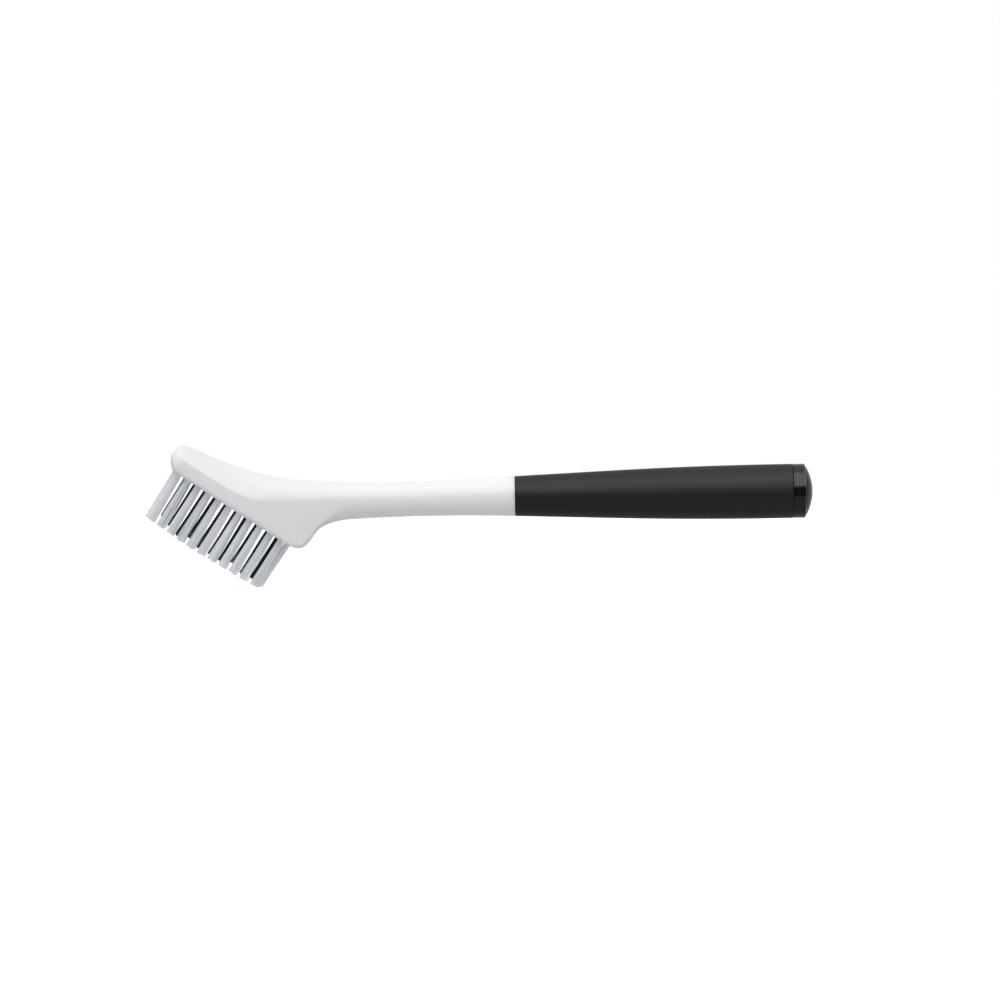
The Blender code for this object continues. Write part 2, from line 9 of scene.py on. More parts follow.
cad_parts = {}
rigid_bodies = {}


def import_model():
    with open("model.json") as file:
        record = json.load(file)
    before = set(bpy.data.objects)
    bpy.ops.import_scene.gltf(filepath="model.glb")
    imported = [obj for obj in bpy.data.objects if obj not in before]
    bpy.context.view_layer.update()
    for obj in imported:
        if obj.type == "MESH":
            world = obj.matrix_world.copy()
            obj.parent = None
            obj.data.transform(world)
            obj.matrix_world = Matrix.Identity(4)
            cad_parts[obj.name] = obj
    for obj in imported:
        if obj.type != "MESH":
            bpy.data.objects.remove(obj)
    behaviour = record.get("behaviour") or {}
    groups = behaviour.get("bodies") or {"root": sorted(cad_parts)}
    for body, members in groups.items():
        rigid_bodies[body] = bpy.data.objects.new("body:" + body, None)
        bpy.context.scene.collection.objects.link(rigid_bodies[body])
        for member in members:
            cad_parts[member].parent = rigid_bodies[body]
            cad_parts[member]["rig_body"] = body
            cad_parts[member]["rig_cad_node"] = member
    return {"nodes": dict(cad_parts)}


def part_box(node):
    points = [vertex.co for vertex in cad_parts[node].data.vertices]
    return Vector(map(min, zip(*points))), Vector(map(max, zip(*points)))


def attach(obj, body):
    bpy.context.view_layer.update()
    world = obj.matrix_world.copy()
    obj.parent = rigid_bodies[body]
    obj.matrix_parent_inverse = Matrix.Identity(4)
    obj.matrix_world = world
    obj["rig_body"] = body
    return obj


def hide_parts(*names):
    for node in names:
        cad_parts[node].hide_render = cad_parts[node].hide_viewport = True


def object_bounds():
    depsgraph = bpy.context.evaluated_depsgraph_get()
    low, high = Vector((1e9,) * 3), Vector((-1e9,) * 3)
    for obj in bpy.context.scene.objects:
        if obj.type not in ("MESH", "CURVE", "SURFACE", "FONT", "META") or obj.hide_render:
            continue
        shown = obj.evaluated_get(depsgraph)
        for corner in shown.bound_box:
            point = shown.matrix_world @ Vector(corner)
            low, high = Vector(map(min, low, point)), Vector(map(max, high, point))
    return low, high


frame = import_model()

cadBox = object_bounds()
mm = 0.001
detail = {
    "ringSteps": 128, "threadSteps": 64, "edgeSteps": 5, "cornerSteps": 6, "smoothAngle": 35,
    "weld": 0.002 * mm, "same": 0.0001 * mm,
}

# The handle's axis and the bristle face, read off the frame
gripLow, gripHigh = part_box("grip_sleeve")
fitGap = 0.3 * mm
jointX = gripLow.x - fitGap  # where the white neck meets the grip
axisZ = (gripLow.z + gripHigh.z) / 2
face = {"slope": math.radians(34.0), "origin": Vector((-123.264 * mm, 0, 47.235 * mm))}
faceFrame = Matrix.Translation(face["origin"]) @ Matrix((
    (math.cos(face["slope"]), 0, -math.sin(face["slope"]), 0),
    (0, -1, 0, 0),
    (-math.sin(face["slope"]), 0, -math.cos(face["slope"]), 0),
    (0, 0, 0, 1),
))  # x from toe to heel, z out of the face


# Modelling helpers

def clearSelection():
    if bpy.context.mode != "OBJECT":
        bpy.ops.object.mode_set(mode="OBJECT")
    bpy.ops.object.select_all(action="DESELECT")


def activate(piece):
    clearSelection()
    piece.select_set(True)
    bpy.context.view_layer.objects.active = piece


def editing(piece):
    activate(piece)
    bpy.ops.object.mode_set(mode="EDIT")
    bpy.ops.mesh.select_mode(type="VERT")


def doneEditing():
    bpy.ops.object.mode_set(mode="OBJECT")


# Selects the corners that pass the test
def pick(piece, test):
    bpy.ops.mesh.select_all(action="DESELECT")
    mesh = bmesh.from_edit_mesh(piece.data)
    for corner in mesh.verts:
        corner.select_set(test(corner.co))
    mesh.select_flush_mode()
    bmesh.update_edit_mesh(piece.data)


def named(name):
    piece = bpy.context.object
    piece.name = name
    piece.data.name = name
    return piece


# Adds one modifier with its settings and applies it
def finishWith(piece, kind, **settings):
    activate(piece)
    modifier = piece.modifiers.new(kind.lower(), kind)
    for name, value in settings.items():
        setattr(modifier, name, value)
    bpy.ops.object.modifier_apply(modifier=modifier.name)


def smoothed(piece, degrees=detail["smoothAngle"]):
    activate(piece)
    bpy.ops.object.shade_smooth_by_angle(angle=math.radians(degrees))


# Moves the piece's place into its mesh
def settled(piece, place=None):
    activate(piece)
    if place is not None:
        piece.matrix_world = place
    bpy.ops.object.transform_apply(location=True, rotation=True, scale=True)
    return piece


def arcPoints(middle, radius, start, end, steps):
    turns = [math.radians(start + (end - start) * i / steps) for i in range(steps + 1)]
    return [(middle[0] + radius * math.cos(a), middle[1] + radius * math.sin(a)) for a in turns]


# Draws a profile of (distance past the joint, radius) in mm corner by corner, then spins it
def spun(name, profile, closed=True):
    clearSelection()
    points = [Vector((jointX + x * mm, 0, axisZ + r * mm)) for x, r in profile]
    bpy.ops.mesh.primitive_plane_add(size=mm, location=points[0])
    piece = named(name)
    bpy.ops.object.transform_apply(location=True)
    editing(piece)
    bpy.ops.mesh.merge(type="CENTER")
    for near, far in zip(points, points[1:]):
        bpy.ops.mesh.extrude_vertices_move(TRANSFORM_OT_translate={"value": far - near})
    if closed:
        ends = points[0], points[-1]
        pick(piece, lambda co: min((co - end).length for end in ends) < detail["same"])
        bpy.ops.mesh.edge_face_add()
    bpy.ops.mesh.select_all(action="SELECT")
    bpy.ops.mesh.spin(
        steps=detail["ringSteps"], angle=2 * math.pi, center=(jointX, 0, axisZ), axis=(1, 0, 0),
    )
    bpy.ops.mesh.select_all(action="SELECT")
    bpy.ops.mesh.remove_doubles(threshold=detail["weld"])
    bpy.ops.mesh.normals_make_consistent(inside=False)
    doneEditing()
    return piece


# A helical ridge round the axis, from (distance past the joint, radius) of its section
def threadRidge(name, section, lead, turns, start):
    clearSelection()
    bpy.ops.mesh.primitive_circle_add(vertices=len(section), radius=mm, fill_type="NOTHING")
    ridge = named(name)
    for corner, (x, r) in zip(ridge.data.vertices, section):
        corner.co = (x * mm, 0, r * mm)
    steps = int(detail["threadSteps"] * turns)
    finishWith(
        ridge, "SCREW", axis="X", angle=2 * math.pi * turns, screw_offset=lead * turns * mm,
        iterations=1, steps=steps, render_steps=steps, use_merge_vertices=False,
        use_smooth_shade=False,
    )
    editing(ridge)
    bpy.ops.mesh.select_mode(type="EDGE")
    bpy.ops.mesh.select_all(action="DESELECT")
    bpy.ops.mesh.select_non_manifold()
    bpy.ops.mesh.edge_face_add()  # closes both ends
    bpy.ops.mesh.select_all(action="SELECT")
    bpy.ops.mesh.normals_make_consistent(inside=False)
    doneEditing()
    return settled(ridge, Matrix.Translation((jointX + start * mm, 0, axisZ)))


def joined(piece, *others):
    clearSelection()
    for other in (piece, *others):
        other.select_set(True)
    bpy.context.view_layer.objects.active = piece
    bpy.ops.object.join()
    return piece


def dressed(piece, finish, body, slot, *nodes):
    piece.data.materials.clear()
    piece.data.materials.append(finish)
    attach(piece, body)
    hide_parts(*nodes)
    return piece


# Shader helpers: a socket that can be written in sums, and what holds the nodes

class Term:
    def __init__(self, finish, socket):
        self.finish, self.socket = finish, socket

    def sum(self, operation, first, second=0.0):
        return self.finish.add("Math", {"operation": operation}, {0: first, 1: second})

    def __add__(self, other):
        return self.sum("ADD", self, other)

    def __sub__(self, other):
        return self.sum("SUBTRACT", self, other)

    def __rsub__(self, other):
        return self.sum("SUBTRACT", other, self)

    def __mul__(self, other):
        return self.sum("MULTIPLY", self, other)

    def __truediv__(self, other):
        return self.sum("DIVIDE", self, other)

    def __rtruediv__(self, other):
        return self.sum("DIVIDE", other, self)

    def __pow__(self, other):
        return self.sum("POWER", self, other)

    __radd__ = __add__
    __rmul__ = __mul__

    def sin(self):
        return self.sum("SINE", self)

    # 0 below the low edge, 1 above the high edge, smooth between
    def step(self, low, high):
        return self.finish.add(
            "MapRange", {"interpolation_type": "SMOOTHSTEP"},
            {"Value": self, "From Min": low, "From Max": high},
        )

    # Turns a noise from 0 to 1 into one from minus half the amount to plus half of it
    def swing(self, amount):
        return (self - 0.5) * amount


class Finish:
    def __init__(self, owner):
        self.owner = owner
        owner.use_nodes = True
        self.tree = owner.node_tree
        self.tree.nodes.clear()

    def add(self, kind, settings=None, sockets=None, out=0):
        node = self.tree.nodes.new("ShaderNode" + kind)
        for name, value in (settings or {}).items():
            setattr(node, name, value)
        for name, value in (sockets or {}).items():
            if isinstance(value, Term):
                self.tree.links.new(value.socket, node.inputs[name])
            else:
                node.inputs[name].default_value = value
        return Term(self, node.outputs[out]) if node.outputs else None

    def place(self, scale=(1, 1, 1)):
        spot = self.add("TexCoord", out="Object")
        return self.add("Mapping", {}, {"Vector": spot, "Scale": scale})

    def part(self, vector, axis):
        return self.add("SeparateXYZ", {}, {0: vector}, out=axis)

    def noise(self, scale, fineness, where=None):
        sockets = {"Vector": where or self.place(), "Scale": scale, "Detail": fineness}
        return self.add("TexNoise", {}, sockets)

    def mixed(self, share, first, second):
        sockets = {0: share, 6: (*first, 1), 7: (*second, 1)}
        return self.add("Mix", {"data_type": "RGBA"}, sockets, out=2)

    def bump(self, height, distance, strength):
        sockets = {"Height": height, "Distance": distance, "Strength": strength}
        return self.add("Bump", {}, sockets)

    def surface(self, **sockets):
        names = {name.replace("_", " "): value for name, value in sockets.items()}
        shader = self.add("BsdfPrincipled", {}, names)
        self.add("OutputMaterial", {}, {"Surface": shader})
        return self.owner


def newFinish(name):
    return Finish(bpy.data.materials.new(name))


# Finishes: each noise is given as (scale, fineness), and "bump" as (distance, strength)

plasticLook = {
    "dark": (0.853, 0.86, 0.876), "light": (0.97, 0.975, 0.985), "roughness": 0.33,
    "clouds": (55.0, 3.0), "cloudShare": 0.4,
    "neckPaintedLight": (-0.09, 0.01), "neckPaintedLightShare": 0.6,  # paler along the neck towards the grip: painted light that brightens the neck
    "scuffs": (260.0, 4.0), "scuffSwing": 0.10,
    "seam": 0.09 * mm, "seamHeight": 0.5, "skin": (1900.0, 2.0), "skinHeight": 0.3,
    "bump": (0.02 * mm, 0.6), "milky": 0.5, "depth": 3.0 * mm,
}


def whitePlastic():
    look, f = plasticLook, newFinish("whitePolypropylene")
    spot = f.place()
    tone = f.noise(*look["clouds"]) * look["cloudShare"]
    # Painted light: the neck's colour is painted paler towards the grip, standing in for brighter
    # light there
    tone = tone + f.part(spot, "X").step(*look["neckPaintedLight"]) * look["neckPaintedLightShare"]
    # A faint line where the mould's halves met
    seam = 1.0 / (1.0 + (f.part(spot, "Y") / look["seam"]) ** 2.0)
    height = seam * look["seamHeight"] + f.noise(*look["skin"]) * look["skinHeight"]
    return f.surface(
        Base_Color=f.mixed(tone, look["dark"], look["light"]),
        Roughness=look["roughness"] + f.noise(*look["scuffs"]).swing(look["scuffSwing"]),
        Normal=f.bump(height, *look["bump"]), Subsurface_Weight=look["milky"],
        Subsurface_Radius=(1, 1, 1), Subsurface_Scale=look["depth"],
    )


gripLook = {
    "dark": (0.009, 0.008, 0.0085), "light": (0.015, 0.0135, 0.0145), "roughness": 0.48,
    "shine": 0.40, "patches": (90.0, 4.0), "patchSwing": 0.10,
    "grain": (5200.0, 2.0), "grainSwing": 0.06, "bump": (0.03 * mm, 0.5),
}


def softGrip():
    look, f = gripLook, newFinish("softBlackGrip")
    patches, grain = f.noise(*look["patches"]), f.noise(*look["grain"])
    roughness = look["roughness"] + patches.swing(look["patchSwing"])
    return f.surface(
        Base_Color=f.mixed(patches, look["dark"], look["light"]),
        Roughness=roughness + grain.swing(look["grainSwing"]),
        Normal=f.bump(grain, *look["bump"]), Specular_IOR_Level=look["shine"],
    )


capLook = {
    "dark": (0.0035, 0.003, 0.003), "light": (0.0065, 0.006, 0.0055), "roughness": 0.13,
    "lines": (1.0, 3.0), "lineScale": (1.25 / mm, 6.0, 6.0), "lineSwing": 0.12,
    "lineEdge": (0.35, 0.65), "lineShare": 0.6,
    "scuffs": (700.0, 4.0), "scuffSwing": 0.05, "scuffShare": 0.4,
    "bump": (0.012 * mm, 0.7), "sheen": 0.37, "sheenEdge": (0.4, 0.6),
}


# Fine turned lines round the band: rings that hardly change except along the axis
def glossCap():
    look, f = capLook, newFinish("glossBlackCap")
    rings = f.noise(*look["lines"], f.place(look["lineScale"]))
    scuffs = f.noise(*look["scuffs"])
    tone = scuffs * look["scuffShare"] + rings.step(*look["lineEdge"]) * look["lineShare"]
    roughness = look["roughness"] + scuffs.swing(look["scuffSwing"])
    return f.surface(
        Base_Color=f.mixed(tone, look["dark"], look["light"]),
        Roughness=roughness + rings.swing(look["lineSwing"]),
        Normal=f.bump(rings, *look["bump"]),
        Coat_Weight=rings.step(*look["sheenEdge"]) * look["sheen"],
        Coat_Roughness=look["roughness"],
    )


domeLook = {
    "dark": (0.011, 0.011, 0.010), "light": (0.019, 0.019, 0.017), "roughness": 0.36,
    "shine": 0.22, "ringPitch": 0.22 * mm, "ringHeight": 0.4,
    "grain": (3000.0, 3.0), "grainSwing": 0.08, "grainHeight": 0.6, "bump": (0.01 * mm, 0.6),
}


def satinDome():
    look, f = domeLook, newFinish("satinBlackDome")
    spot = f.add("VectorMath", {"operation": "SUBTRACT"}, {0: f.place(), 1: (0, 0, axisZ)})
    radius = (f.part(spot, "Y") ** 2.0 + f.part(spot, "Z") ** 2.0) ** 0.5
    rings = (radius * (2 * math.pi / look["ringPitch"])).sin() * 0.5 + 0.5
    grain = f.noise(*look["grain"])
    height = rings * look["ringHeight"] + grain * look["grainHeight"]
    return f.surface(
        Base_Color=f.mixed(grain, look["dark"], look["light"]),
        Roughness=look["roughness"] + grain.swing(look["grainSwing"]),
        Specular_IOR_Level=look["shine"], Normal=f.bump(height, *look["bump"]),
    )


sealLook = {
    "dark": (0.035, 0.035, 0.036), "light": (0.06, 0.06, 0.06), "roughness": 0.62,
    "grain": (2600.0, 3.0), "grainSwing": 0.1, "bump": (0.02 * mm, 0.5),
}


def sealRubber():
    look, f = sealLook, newFinish("sealRubber")
    grain = f.noise(*look["grain"])
    return f.surface(
        Base_Color=f.mixed(grain, look["dark"], look["light"]),
        Roughness=look["roughness"] + grain.swing(look["grainSwing"]),
        Normal=f.bump(grain, *look["bump"]),
    )


filamentLook = {
    "pale": {"dark": (0.60, 0.63, 0.70), "light": (1.0, 1.0, 1.0), "roughness": 0.38, "milky": 0.9},
    "dark": {
        "dark": (0.006, 0.006, 0.007), "light": (0.022, 0.022, 0.024), "roughness": 0.35,
        "milky": 0.0,
    },
    "toneShare": 0.8, "clouds": (420.0, 2.0), "cloudShare": 0.2,
    "speckles": (3500.0, 2.0), "speckleSwing": 0.14, "bump": (0.01 * mm, 0.4),
    # The pale filaments glow faintly: painted light standing in for light scattered through them
    "depth": 0.6 * mm, "paintedGlowColour": (0.86, 0.90, 1.0, 1), "paintedGlow": 0.07,
}


# Each filament has its own tone, kept in its mesh, and clouds a little along its length
def filament(kind):
    look, own, f = filamentLook, filamentLook[kind], newFinish(kind + "Filament")
    tone = f.add("Attribute", {"attribute_name": "tone"}, out="Fac") * look["toneShare"]
    speckles = f.noise(*look["speckles"])
    tone = tone + f.noise(*look["clouds"]) * look["cloudShare"]
    return f.surface(
        Base_Color=f.mixed(tone, own["dark"], own["light"]),
        Roughness=own["roughness"] + speckles.swing(look["speckleSwing"]),
        Normal=f.bump(speckles, *look["bump"]), Subsurface_Weight=own["milky"],
        Subsurface_Radius=(1, 1, 1), Subsurface_Scale=look["depth"],
        # Painted light: a faint glow on the pale filaments, which hold no lamp
        Emission_Color=look["paintedGlowColour"], Emission_Strength=look["paintedGlow"] * own["milky"],
    )


print("finishes")
whiteFinish = whitePlastic()
gripFinish = softGrip()
capFinish = glossCap()
domeFinish = satinDome()
sealFinish = sealRubber()
paleFinish = filament("pale")
darkFinish = filament("dark")


# White moulding: the head, neck and core in one, with the mouth's thread

print("white moulding")
mouldingShape = {
    "smoothAngle": 32, "normalWeight": 50,
    # Small moves that bring the outline to the photo's, in mm along and out of the bristle face
    "nudges": [
        {"middle": (-4.6, -1.2), "reach": 4.0, "move": (0.5, 0)},
        {"middle": (57.3, -0.6), "reach": 4.5, "move": (0.2, -0.45)},
        {"middle": (60.5, -6.0), "reach": 14.0, "move": (0.5, 0)},
        {"middle": (64.0, -17.0), "reach": 7.0, "move": (0.5, 0)},
    ],
}
# A two-start thread: the plug's ridges run midway between the mouth's, so they never meet
# as the cap unscrews
thread = {
    "lead": 5.0, "foot": 0.42, "crest": 0.18,
    "mouthWall": 7.0, "mouthCrest": 6.36, "mouthTurns": 1.0, "mouthStarts": (103.65, 106.15),
    "plugWall": 6.0, "plugCrest": 6.66, "plugTurns": 1.3, "plugStarts": (102.4, 104.9),
}

clearSelection()
moulding = frame["nodes"]["handle_body"].copy()
moulding.data = moulding.data.copy()
moulding.parent = None
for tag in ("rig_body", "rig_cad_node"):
    if tag in moulding:
        del moulding[tag]
bpy.context.scene.collection.objects.link(moulding)
moulding.name = moulding.data.name = "whiteMoulding"
editing(moulding)
bpy.ops.mesh.select_all(action="SELECT")
bpy.ops.mesh.remove_doubles(threshold=detail["weld"])
bpy.ops.mesh.customdata_custom_splitnormals_clear()
bpy.ops.mesh.tris_convert_to_quads()
doneEditing()
fromFace, toFace = faceFrame.to_3x3(), faceFrame.inverted()
for corner in moulding.data.vertices:
    spot = toFace @ corner.co / mm
    for nudge in mouldingShape["nudges"]:
        (along, out), (moveAlong, moveOut) = nudge["middle"], nudge["move"]
        near = max(1 - math.hypot(spot.x - along, spot.z - out) / nudge["reach"], 0)
        smooth = near ** 2 * (3 - 2 * near)
        corner.co += fromFace @ Vector((moveAlong, 0, moveOut)) * (smooth * mm)


# The thread's ridges in the "mouth" or on the "plug"
def threadRidges(side):
    wall, crest = thread[side + "Wall"], thread[side + "Crest"]
    foot, top = thread["foot"], thread["crest"]
    section = [(-foot, wall), (-top, crest), (top, crest), (foot, wall)]
    return [
        threadRidge(side + "Ridge", section, thread["lead"], thread[side + "Turns"], start)
        for start in thread[side + "Starts"]
    ]


joined(moulding, *threadRidges("mouth"))
smoothed(moulding, mouldingShape["smoothAngle"])
finishWith(
    moulding, "WEIGHTED_NORMAL", weight=mouldingShape["normalWeight"], keep_sharp=True,
)
dressed(moulding, whiteFinish, "wand", "white_plastic", "handle_body")


# Grip sleeve

print("grip sleeve")
grip = {
    "start": 0.05, "length": 113.75, "startRadius": 8.2, "endRadius": 11.1, "swell": 1.45,
    "wall": 1.8, "edge": 0.2, "outsideSteps": 30, "insideSteps": 10,
}


def gripRadius(x):
    share = min(max(x / grip["length"], 0.0), 1.0)
    narrower = (grip["endRadius"] - grip["startRadius"]) * (1 - share) ** (grip["swell"] + share)
    return grip["endRadius"] - narrower


gripStart, gripEnd, edge = grip["start"], grip["length"], grip["edge"]
outside = arcPoints(
    (gripStart + edge, gripRadius(gripStart) - edge), edge, 180, 90, detail["edgeSteps"],
)
for i in range(1, grip["outsideSteps"]):
    x = gripStart + edge + (gripEnd - gripStart - 2 * edge) * i / grip["outsideSteps"]
    outside.append((x, gripRadius(x)))
outside += arcPoints(
    (gripEnd - edge, gripRadius(gripEnd) - edge), edge, 90, 0, detail["edgeSteps"],
)
inside = []
for i in range(grip["insideSteps"] + 1):
    x = gripEnd - (gripEnd - gripStart) * i / grip["insideSteps"]
    inside.append((x, gripRadius(x) - grip["wall"]))
sleeve = spun("gripSleeve", outside + inside)
smoothed(sleeve)
dressed(sleeve, gripFinish, "wand", "soft_grip", "grip_sleeve")


# Screw cap: band, shoulder and plug, with the thread on the plug

print("screw cap")
cap = {
    "start": 113.92, "radius": 11.1, "edge": 0.15,
    "shoulder": 118.6, "corner": 0.4, "shoulderEnd": 119.25, "shoulderRadius": 9.95,
    "plug": 6.1, "plugEnd": 101.1, "plugWall": 1.5, "plugEdge": 0.5, "web": 2.0,
    "collar": 6.6, "collarStart": 112.3, "collarBevel": 0.3,
    "groove": 6.3, "grooveStart": 113.1, "grooveEnd": 114.6, "recess": 8.05,  # the seal's place
    "domeSphere": 19.9, "domeStand": 0.22, "domeThickness": 1.5, "domeSteps": 16,
    "domeBevel": (0.06, 0.02), "undercut": 0.3, "undercutStart": 0.05,
    "seam": 0.1, "pocketGap": 0.3,  # round the dome and behind it
}
shoulderEnd, plugEnd, plugRadius = cap["shoulderEnd"], cap["plugEnd"], cap["plug"]
shoulderSlope = math.degrees(
    math.atan2(cap["radius"] - cap["shoulderRadius"], shoulderEnd - cap["shoulder"])
)
shoulderArc = arcPoints(
    (cap["shoulder"], cap["radius"] - cap["corner"]), cap["corner"], 90 - shoulderSlope, 90,
    detail["cornerSteps"],
)
domeEdge = cap["shoulderRadius"] - cap["seam"]


# Where the dome's outer face lies at a radius, past the joint
def domeAt(radius):
    def drop(r):
        return cap["domeSphere"] - math.sqrt(cap["domeSphere"] ** 2 - r ** 2)
    return shoulderEnd + cap["domeStand"] + drop(domeEdge) - drop(radius)


pocket = domeAt(domeEdge) - cap["domeThickness"] - cap["pocketGap"]
capProfile = [(pocket, 0.0), (pocket, cap["shoulderRadius"]), (shoulderEnd, cap["shoulderRadius"])]
capProfile += shoulderArc
capProfile += arcPoints(
    (cap["start"] + cap["edge"], cap["radius"] - cap["edge"]), cap["edge"], 90, 180,
    detail["edgeSteps"],
)
capProfile += [
    (cap["start"], cap["recess"]), (cap["grooveEnd"], cap["recess"]),
    (cap["grooveEnd"], cap["groove"]), (cap["grooveStart"], cap["groove"]),
    (cap["grooveStart"], cap["collar"]), (cap["collarStart"], cap["collar"]),
    (cap["collarStart"] - cap["collarBevel"], plugRadius),
]
capProfile += arcPoints(
    (plugEnd + cap["plugEdge"], plugRadius - cap["plugEdge"]), cap["plugEdge"], 90, 180,
    detail["edgeSteps"],
)
capProfile += [
    (plugEnd, plugRadius - cap["plugWall"]),
    (pocket - cap["web"], plugRadius - cap["plugWall"]), (pocket - cap["web"], 0.0),
]
capBody = spun("screwCap", capProfile, closed=False)
joined(capBody, *threadRidges("plug"))
smoothed(capBody)
dressed(capBody, capFinish, "cap", "gloss_cap", "fill_cap")

# Domed disc in the cap's end
domeBack, domeRim = domeAt(domeEdge) - cap["domeThickness"], domeEdge - cap["undercut"]
domeProfile = [
    (domeBack, 0.0), (domeBack, domeRim), (shoulderEnd - cap["undercutStart"], domeRim),
    (domeAt(domeEdge) - cap["domeBevel"][0], domeEdge),
    (domeAt(domeEdge), domeEdge - cap["domeBevel"][1]),
]
for i in range(1, cap["domeSteps"] + 1):
    radius = domeEdge * (1 - i / cap["domeSteps"])
    domeProfile.append((domeAt(radius), radius))
dome = spun("capDome", domeProfile, closed=False)
smoothed(dome)
dressed(dome, domeFinish, "cap", "satin_dome", "cap_dome")

# Seal ring in its groove, sized from the seal's box
sealShape = {"ringSteps": 96, "cordSteps": 16, "smoothAngle": 60}
clearSelection()
sealLow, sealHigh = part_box("cap_seal")
sealOuter, sealCord = (sealHigh.z - sealLow.z) / 2, (sealHigh.x - sealLow.x) / 2
bpy.ops.mesh.primitive_torus_add(
    major_segments=sealShape["ringSteps"], minor_segments=sealShape["cordSteps"],
    major_radius=sealOuter - sealCord, minor_radius=sealCord,
    location=((sealLow.x + sealHigh.x) / 2, 0, axisZ), rotation=(0, math.radians(90), 0),
)
seal = settled(named("sealRing"))
smoothed(seal, sealShape["smoothAngle"])
dressed(seal, sealFinish, "cap_carriage", "seal_rubber", "cap_seal")


# Tufts: one filament is modelled, then copied to its places and joined

print("tufts")
bristle = {
    "seed": 11, "radius": 0.125, "sides": 6, "bends": (0.3, 0.62, 0.985), "tipScale": 0.5,
    "smoothAngle": 50,
    "paleCount": 58, "darkCount": 48, "paleRoot": 1.3, "darkRoot": 1.05, "rootInset": 0.6,
    "length": 23.0, "trimMiddle": 22.0, "trimRadius": 360.0, "depth": 2.0,
    "outerTufts": 11, "outerStart": 0.2, "outerPitch": 5.02, "rowSpacing": 4.2,
    "middleTufts": 12, "middleStart": -1.1, "middlePitch": 4.975,
    "lean": 1.9, "toeLean": 3.1, "heelLean": -4.2,
    "spread": 1.6, "spreadSwing": (0.9, 1.08), "bow": 0.1, "stray": 0.1, "uneven": 0.12,
    "bunch": 0.17, "darkBunch": 0.04, "bunchEvery": 0.53, "bunchShort": 0.55, "bunches": 9,
    "tone": 0.6, "endPaintedLight": 0.12,  # less is paler; the pale tufts at the ends of the field are painted paler, painted light
    "floor": 0.05, "endGap": 0.2,  # clearances to the ground and to the wand's end
    "shortfall": [4.0, 2.4, 0.9, 2.9, 1.5, 1.6, 1.8, 3.5, 1.6, 1.9],  # of the dark tufts
}
# How far each tuft sits off its hole's middle, at its root and at its tip, in mm towards
# the heel
sway = {
    "front": [(0.2, 0.3)] + [(-0.1, -0.1), (-0.05, -0.1)] * 4 + [(-0.1, -0.1), (0.2, 0.1)],
    "back": [
        (0, 0), (0, 0.1), (-0.3, -0.5), (-0.3, -0.2), (-0.3, -0.5), (-0.3, -0.2), (-0.1, 0.1),
        (-0.3, -0.3), (-0.2, -0.2), (-0.1, 0), (0, 0),
    ],
    "inner": [
        (0.0, -0.2), (0.15, 0.3), (-0.15, -0.25), (-0.1, -0.6), (-0.3, -0.7), (0, -0.4),
        (0, 0.1), (-0.4, 0.1), (0.05, -0.35), (0.25, 0.3), (-0.05, -0.05), (0.05, 0.4),
    ],
}
goldenAngle = math.pi * (3 - math.sqrt(5))
draw = random.Random(bristle["seed"])


# One unit long, with a rounded end
def masterFilament():
    clearSelection()
    bpy.ops.mesh.primitive_cylinder_add(
        vertices=bristle["sides"], radius=bristle["radius"] * mm, depth=1, end_fill_type="NGON",
        location=(0, 0, 0.5),
    )
    master = settled(named("filament"))
    editing(master)
    for height in bristle["bends"]:
        bpy.ops.mesh.select_all(action="SELECT")
        bpy.ops.mesh.bisect(plane_co=(0, 0, height), plane_no=(0, 0, 1))
    pick(master, lambda co: co.z > 0.999)  # the tip's corners
    bpy.ops.transform.resize(
        value=(bristle["tipScale"], bristle["tipScale"], 1), center_override=(0, 0, 1),
    )
    doneEditing()
    smoothed(master, bristle["smoothAngle"])
    master.data.attributes.new("tone", "FLOAT", "POINT")
    return master


# A filament from its foot to its tip, in mm in the face's frame; root is its place in the tuft
def filamentCopy(master, foot, tip, root, tone):
    way = (tip - foot) * mm
    matrix = faceFrame @ Matrix.Translation(foot * mm) @ Matrix((
        (1, 0, way.x, 0), (0, 1, way.y, 0), (0, 0, way.z, 0), (0, 0, 0, 1),
    ))
    copy = master.copy()
    copy.data = master.data.copy()
    for corner, shade in zip(copy.data.vertices, copy.data.attributes["tone"].data):
        shade.value = tone
        # The middle bows inwards, so the tuft opens more near its tips
        bend = -bristle["bow"] * corner.co.z * (1 - corner.co.z) * mm
        corner.co += Vector((root.x * bend, root.y * bend, 0))
    copy.data.transform(matrix)
    bpy.context.scene.collection.objects.link(copy)
    return copy


# The tip brought inside the length of the wand, and cut level where the wand stands
def trimmedTip(foot, tip):
    left = ((faceFrame @ (tip * mm)).x - cadBox[0].x) / mm
    tip.x += max(bristle["endGap"] - left, 0) / math.cos(face["slope"])
    low, high = (faceFrame @ (tip * mm)).z, (faceFrame @ (foot * mm)).z
    ground = bristle["floor"] * mm
    return foot.lerp(tip, (high - ground) / (high - low)) if low < ground else tip


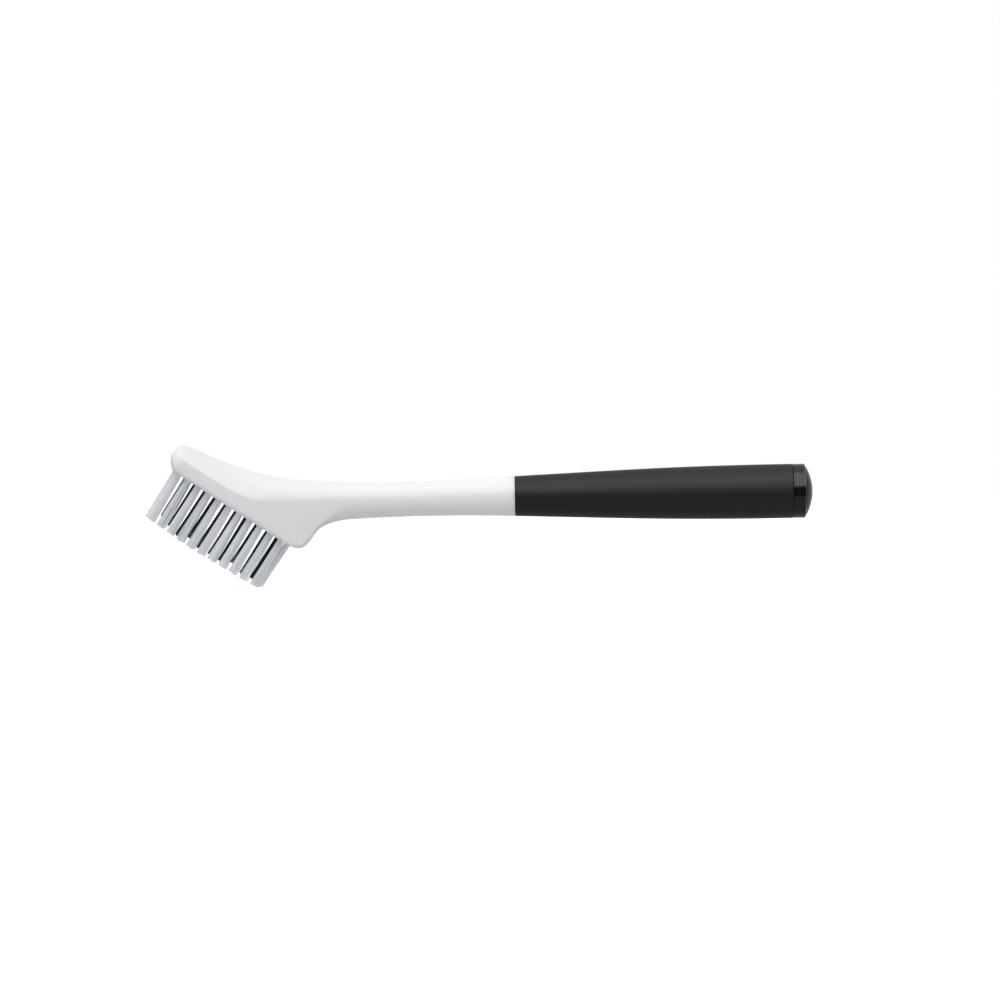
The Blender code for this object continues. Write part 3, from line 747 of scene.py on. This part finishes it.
def tuftPiece(name, master, u, v, lean, shift, shortfall):
    dark, atEnd = shortfall > 0, name.endswith(("_01", "toe", "heel"))  # at an end of the field
    # Painted light: the pale tufts at the ends of the field get paler tones than the rest
    toneSkewAndEndLight = bristle["endPaintedLight" if atEnd else "tone"]
    rootRadius = bristle["darkRoot" if dark else "paleRoot"]
    count = bristle["darkCount" if dark else "paleCount"]
    gathering = bristle["darkBunch" if dark else "bunch"]
    phase = draw.random()
    shorts = [draw.uniform(0, bristle["bunchShort"]) for _ in range(bristle["bunches"])]
    copies = []
    for k in range(count):
        turn = k * goldenAngle + u
        out = rootRadius * math.sqrt((k + 0.5) / count) - bristle["radius"] * bristle["rootInset"]
        root = Vector((math.cos(turn), math.sin(turn))) * max(out, 0)
        spread = bristle["spread"] * draw.uniform(*bristle["spreadSwing"])
        tipU = u + shift[1] + root.x * spread + math.tan(math.radians(lean)) * bristle["length"]
        tipU += draw.gauss(0, bristle["stray"])
        # Filaments gather in flat bunches towards their tips
        bunch = root.x / bristle["bunchEvery"] + phase
        tipU += gathering * math.sin(bunch * 2 * math.pi)
        tipV = v + root.y * spread + draw.gauss(0, bristle["stray"])
        trim = (tipU - bristle["trimMiddle"]) ** 2 / (2 * bristle["trimRadius"])
        short = shorts[math.floor(bunch) + bristle["bunches"] // 2]
        length = bristle["length"] - trim
        length -= shortfall + short + abs(draw.gauss(0, bristle["uneven"]))
        foot = Vector((u + shift[0] + root.x, v + root.y, -bristle["depth"]))
        tip = trimmedTip(foot, Vector((tipU, tipV, length)))
        copies.append(filamentCopy(master, foot, tip, root, draw.random() ** toneSkewAndEndLight))
    joined(*copies)
    return named(name)


master = masterFilament()
places = []
for side, v in (("front", bristle["rowSpacing"]), ("back", -bristle["rowSpacing"])):
    for i in range(bristle["outerTufts"]):
        u = bristle["outerStart"] + i * bristle["outerPitch"]
        places.append((f"{side}_{i + 1:02d}", u, v, bristle["lean"], sway[side][i], 0.0))
ends = {0: "toe", bristle["middleTufts"] - 1: "heel"}  # the two pale tufts of the middle row
for i in range(bristle["middleTufts"]):
    name = ends.get(i, f"inner_{i:02d}")
    u = bristle["middleStart"] + i * bristle["middlePitch"]
    lean = bristle[name + "Lean" if i in ends else "lean"]
    shortfall = 0.0 if i in ends else bristle["shortfall"][i - 1]
    places.append((name, u, 0.0, lean, sway["inner"][i], shortfall))
for name, u, v, lean, shift, shortfall in places:
    tuft = tuftPiece("tuft." + name, master, u, v, lean, shift, shortfall)
    finish, slot = paleFinish, "pale_bristle"
    if shortfall > 0:
        finish, slot = darkFinish, "dark_bristle"
    dressed(tuft, finish, "wand", slot, "tuft_" + name)
bpy.data.objects.remove(master)


# Studio: floor, light and camera

print("studio")
studio = {
    "floorSize": 60.0, "floorDepth": 0.05 * mm, "floorColour": (0.80, 0.80, 0.80, 1),
    "floorRoughness": 0.9, "floorGlow": 0.45,
    "sun": {"energy": 0.75, "angle": 60, "height": 52},
    "fill": {"energy": 0.84, "angle": 100, "height": -66},  # light thrown back by the floor
    "skyFront": 1.2, "skyBack": 0.58, "skyTurn": (-0.5, 0.5), "skyEdge": (0.22, 0.36),
    "below": 0.34, "belowEdge": (-0.44, -0.34),
    "backdrop": 1.0, "behindCamera": 0.06, "backdropEdge": (0.4, 0.95),
    "distance": 1.845, "lens": 162.0, "sensor": 36.0, "roll": 1.066,
    "aim": Vector((-6.056 * mm, 0, -1.507 * mm)), "clip": (0.05, 200.0),
}
clearSelection()
bpy.ops.mesh.primitive_plane_add(size=studio["floorSize"], location=(0, 0, -studio["floorDepth"]))
floor = settled(named("floor"))
floor.data.materials.append(newFinish("floorPaper").surface(
    Base_Color=studio["floorColour"], Roughness=studio["floorRoughness"],
    Emission_Color=(1, 1, 1, 1), Emission_Strength=studio["floorGlow"],
))
# Only the camera sees it
floor.visible_diffuse = floor.visible_glossy = False
floor.visible_transmission = floor.visible_shadow = False

# The sky in three bands: below, level and overhead, each with its own brightness
world = bpy.data.worlds.new("studio")
bpy.context.scene.world = world
sky = Finish(world)
direction = sky.add("TexCoord", out="Generated")
up, away = sky.part(direction, "Z"), sky.part(direction, "Y")
overhead = away.step(*studio["skyTurn"]) * (studio["skyBack"] - studio["skyFront"])
overhead = studio["skyFront"] + overhead
level = away.step(*studio["backdropEdge"]) * (studio["backdrop"] - studio["behindCamera"])
level = studio["behindCamera"] + level
light = studio["below"] + up.step(*studio["belowEdge"]) * (level - studio["below"])
light = light + up.step(*studio["skyEdge"]) * (overhead - level)
seen = sky.add("LightPath", out="Is Camera Ray")
light = light + seen * (1.0 - light)  # the camera sees plain white
shine = sky.add("Background", {}, {"Color": (1, 1, 1, 1), "Strength": light})
sky.add("OutputWorld", {}, {"Surface": shine})

for name in ("sun", "fill"):
    settings = studio[name]
    bpy.ops.object.light_add(type="SUN", location=(0, -1, 1))
    lamp = bpy.context.object
    lamp.name = name
    lamp.rotation_euler = (math.radians(90 - settings["height"]), 0, 0)
    lamp.data.energy = settings["energy"]
    lamp.data.angle = math.radians(settings["angle"])
lamp.visible_glossy = False  # the fill's

bpy.ops.object.camera_add()
camera = bpy.context.object
camera.location = Vector((jointX, 0, axisZ)) + studio["aim"] - Vector((0, studio["distance"], 0))
camera.rotation_euler = (math.radians(90), math.radians(studio["roll"]), 0)
camera.data.lens, camera.data.sensor_width = studio["lens"], studio["sensor"]
camera.data.clip_start, camera.data.clip_end = studio["clip"]
bpy.context.scene.camera = camera
bpy.context.scene.view_settings.view_transform = "Standard"
bpy.context.scene.view_settings.look = "None"
clearSelection()

print("ready")
